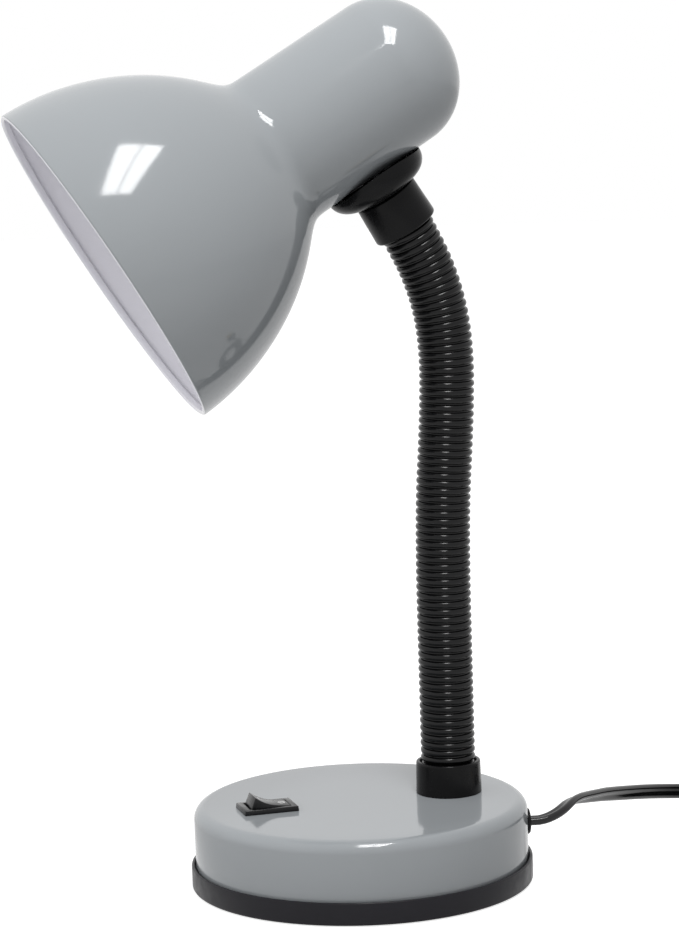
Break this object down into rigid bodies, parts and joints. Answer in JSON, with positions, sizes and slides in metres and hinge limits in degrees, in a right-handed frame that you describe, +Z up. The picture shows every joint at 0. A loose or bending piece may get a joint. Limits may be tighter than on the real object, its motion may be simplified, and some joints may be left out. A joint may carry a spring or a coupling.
{
  "type": "gooseneck desk lamp",
  "caption": "Desk lamp with a round weighted base, a rocker switch, a bendable ribbed gooseneck and a bell-shaped metal shade on a swivelling saddle.",
  "frame": {"origin": "middle of the base's resting face, on the table", "axes": "+Z up; -Y to the front, the switch side, where the shade points; the neck and the cord's exit are on the +Y side; X is the width"},
  "size_m": [0.152, 0.3816, 0.344],
  "materials": {
    "shade_paint": "glossy grey powder coat, lighter inside the shade",
    "base_paint": "glossy grey powder coat",
    "black_abs": "semi-gloss moulded black plastic",
    "tray_plastic": "satin black moulded plastic",
    "hose_plastic": "glossy black ribbed hose",
    "cord_pvc": "glossy black flexible sheath",
    "pad_foam": "closed-cell foam",
    "cast_iron": "rough casting",
    "zinc_steel": "zinc plated",
    "core_steel": "drawn steel",
    "brass": "bright stamped brass",
    "holder_ceramic": "off-white moulded lamp holder",
    "nylon": "natural nylon",
    "bulb_frost": "frosted white globe",
    "bulb_cap_metal": "bright rolled cap"
  },
  "bodies": {
    "lamp_base": {"base_tray": "tray_plastic", "base_pad": "pad_foam", "base_weight": "cast_iron", "base_screws": "zinc_steel", "base_cover": "base_paint", "switch_housing": "black_abs", "switch_terminals": "brass", "cord_grommet": "black_abs", "cord_inner": "cord_pvc", "cord_connectors": "nylon", "base_leads": "cord_pvc", "cord_run": "cord_pvc", "cord_coil": "cord_pvc", "cord_tail": "cord_pvc", "cord_tie": "cord_pvc", "plug_body": "cord_pvc", "plug_blades": "brass", "lower_collar": "black_abs", "lower_stud": "zinc_steel", "lower_washer": "zinc_steel", "lower_nut": "zinc_steel", "neck_hose_1": "hose_plastic", "neck_core_1": "core_steel", "neck_lead": "cord_pvc"},
    "rocker": {"switch_rocker": "black_abs", "switch_blade": "brass"},
    "neck_link_2": {"neck_hose_2": "hose_plastic", "neck_core_2": "core_steel"},
    "neck_link_3": {"neck_hose_3": "hose_plastic", "neck_core_3": "core_steel"},
    "neck_link_4": {"neck_hose_4": "hose_plastic", "neck_core_4": "core_steel"},
    "neck_link_5": {"neck_hose_5": "hose_plastic", "neck_core_5": "core_steel"},
    "neck_link_6": {"neck_hose_6": "hose_plastic", "neck_core_6": "core_steel"},
    "neck_link_7": {"neck_hose_7": "hose_plastic", "neck_core_7": "core_steel"},
    "neck_link_8": {"neck_hose_8": "hose_plastic", "neck_core_8": "core_steel"},
    "neck_link_9": {"neck_hose_9": "hose_plastic", "neck_core_9": "core_steel"},
    "neck_link_10": {"neck_hose_10": "hose_plastic", "neck_core_10": "core_steel"},
    "neck_link_11": {"neck_hose_11": "hose_plastic", "neck_core_11": "core_steel"},
    "neck_link_12": {"neck_hose_12": "hose_plastic", "neck_core_12": "core_steel", "upper_ferrule": "black_abs", "upper_stud": "zinc_steel", "upper_nut": "zinc_steel"},
    "head": {"head_saddle": "black_abs", "shade": "shade_paint", "holder_bracket": "zinc_steel", "holder_body": "holder_ceramic", "holder_shell": "brass", "holder_contact": "brass", "holder_screws": "zinc_steel", "bulb_glass": "bulb_frost", "bulb_cap": "bulb_cap_metal"}
  },
  "joints": [
    {"name": "neck_lower_bend", "type": "hinge", "parent": "lamp_base", "child": "neck_link_2", "pos_m": [0, 0.0365, 0.0628], "axis": [1, 0, 0], "range_deg": [-12, 12], "deforming": ["neck_hose_2", "neck_hose_1", "neck_lead"]},
    {"name": "neck_lower_sway", "type": "hinge", "parent": "neck_link_2", "child": "neck_link_3", "pos_m": [0, 0.0365, 0.0806], "axis": [0, 1, 0], "range_deg": [-12, 12], "deforming": ["neck_hose_3"]},
    {"name": "neck_bend_3", "type": "hinge", "parent": "neck_link_3", "child": "neck_link_4", "pos_m": [0, 0.0365, 0.0984], "axis": [1, 0, 0], "range_deg": [-12, 12], "deforming": ["neck_hose_4"]},
    {"name": "neck_sway_4", "type": "hinge", "parent": "neck_link_4", "child": "neck_link_5", "pos_m": [0, 0.0365, 0.1162], "axis": [0, 1, -0.0087], "range_deg": [-12, 12], "deforming": ["neck_hose_5"]},
    {"name": "neck_bend_5", "type": "hinge", "parent": "neck_link_5", "child": "neck_link_6", "pos_m": [0, 0.03681, 0.134], "axis": [1, 0, 0], "range_deg": [-12, 12], "deforming": ["neck_hose_6"]},
    {"name": "neck_upper_sway", "type": "hinge", "parent": "neck_link_6", "child": "neck_link_7", "pos_m": [0, 0.03743, 0.15179], "axis": [0, 0.9984, -0.0567], "range_deg": [-12, 12], "deforming": ["neck_hose_7"]},
    {"name": "neck_upper_bend", "type": "hinge", "parent": "neck_link_7", "child": "neck_link_8", "pos_m": [0, 0.03883, 0.16953], "axis": [1, 0, 0], "range_deg": [-12, 12], "deforming": ["neck_hose_8"]},
    {"name": "neck_sway_8", "type": "hinge", "parent": "neck_link_8", "child": "neck_link_9", "pos_m": [0, 0.03992, 0.1873], "axis": [0, 0.999, -0.0436], "range_deg": [-12, 12], "deforming": ["neck_hose_9"]},
    {"name": "neck_bend_9", "type": "hinge", "parent": "neck_link_9", "child": "neck_link_10", "pos_m": [0, 0.04038, 0.20509], "axis": [1, 0, 0], "range_deg": [-12, 12], "deforming": ["neck_hose_10"]},
    {"name": "neck_sway_10", "type": "hinge", "parent": "neck_link_10", "child": "neck_link_11", "pos_m": [0, 0.03868, 0.22281], "axis": [0, 0.9816, 0.1908], "range_deg": [-12, 12], "deforming": ["neck_hose_11"]},
    {"name": "neck_bend_11", "type": "hinge", "parent": "neck_link_11", "child": "neck_link_12", "pos_m": [0, 0.03362, 0.23988], "axis": [1, 0, 0], "range_deg": [-12, 12], "deforming": ["neck_hose_12"]},
    {"name": "head_swivel", "type": "hinge", "parent": "neck_link_12", "child": "head", "pos_m": [0, 0.02554, 0.25574], "axis": [0, -0.5173, 0.8558], "range_deg": [-90, 90]},
    {"name": "switch_rocker_tilt", "type": "hinge", "parent": "lamp_base", "child": "rocker", "pos_m": [0, -0.0377, 0.031], "axis": [1, 0, 0], "range_deg": [0, 24]}
  ],
  "couplings": [
    {"joint": "neck_bend_3", "follows": "neck_lower_bend", "ratio": 1},
    {"joint": "neck_sway_4", "follows": "neck_lower_sway", "ratio": 1},
    {"joint": "neck_bend_5", "follows": "neck_lower_bend", "ratio": 1},
    {"joint": "neck_sway_8", "follows": "neck_upper_sway", "ratio": 1},
    {"joint": "neck_bend_9", "follows": "neck_upper_bend", "ratio": 1},
    {"joint": "neck_sway_10", "follows": "neck_upper_sway", "ratio": 1},
    {"joint": "neck_bend_11", "follows": "neck_upper_bend", "ratio": 1}
  ]
}
